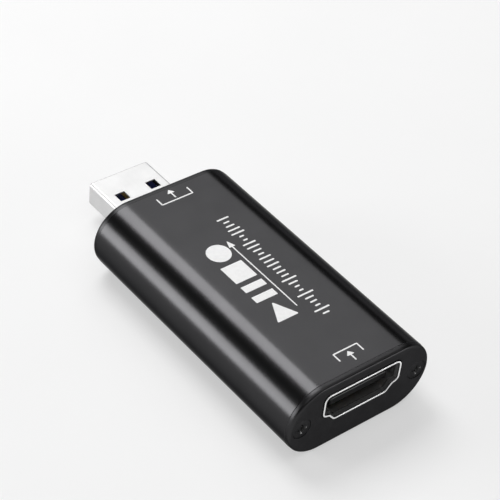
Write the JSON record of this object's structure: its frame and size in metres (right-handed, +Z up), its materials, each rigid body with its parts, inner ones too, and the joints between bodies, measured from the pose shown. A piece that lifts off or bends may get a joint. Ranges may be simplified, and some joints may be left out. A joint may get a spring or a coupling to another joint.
{
  "type": "video capture box",
  "caption": "Stick-shaped video capture box: a round-sided metal sleeve with screwed end plates, a flat serial plug at one end and a video socket at the other.",
  "frame": {"origin": "under the middle of the whole length, on the surface that the box rests on", "axes": "+X along the box from the plug towards the video socket, +Y across, +Z up"},
  "size_m": [0.064, 0.028, 0.013],
  "materials": {
    "sleeve_metal": "satin black anodised extrusion",
    "plate_metal": "satin black anodised plate",
    "black_screw": "black oxide screw steel",
    "socket_steel": "bright nickel plated sheet",
    "socket_plastic": "black moulded connector plastic",
    "plug_steel": "bright nickel plated sheet",
    "plug_plastic": "blue moulded connector plastic",
    "gold_contact": "gold plated contact",
    "board_laminate": "green solder mask on glass laminate",
    "chip_plastic": "black moulding compound",
    "tinned_lead": "matt tin plate",
    "pad_silicone": "soft filled silicone",
    "crystal_can": "nickel lid on ceramic",
    "ferrite": "dark ferrite",
    "capacitor_ceramic": "tan fired ceramic with tinned ends",
    "resistor_body": "black glazed film on ceramic",
    "film_plastic": "amber insulating film",
    "print_ink": "thin white printed ink, used only for the print on the sleeve"
  },
  "bodies": {
    "root": {"housing_sleeve": "sleeve_metal", "input_end_plate": "plate_metal", "output_end_plate": "plate_metal", "input_plate_screws": "black_screw", "output_plate_screws": "black_screw", "socket_shell": "socket_steel", "socket_insulator": "socket_plastic", "plug_shell": "plug_steel", "plug_insulator": "plug_plastic", "socket_upper_contacts": "gold_contact", "socket_lower_contacts": "gold_contact", "plug_front_contacts": "gold_contact", "plug_rear_contacts": "gold_contact", "main_board": "board_laminate", "capture_chip": "chip_plastic", "memory_chip": "chip_plastic", "regulator_chips": "chip_plastic", "surge_arrays": "chip_plastic", "chip_leads": "tinned_lead", "thermal_pad": "pad_silicone", "timing_crystal": "crystal_can", "power_inductors": "ferrite", "ceramic_capacitors": "capacitor_ceramic", "chip_resistors": "resistor_body", "insulating_film": "film_plastic"}
  },
  "joints": []
}
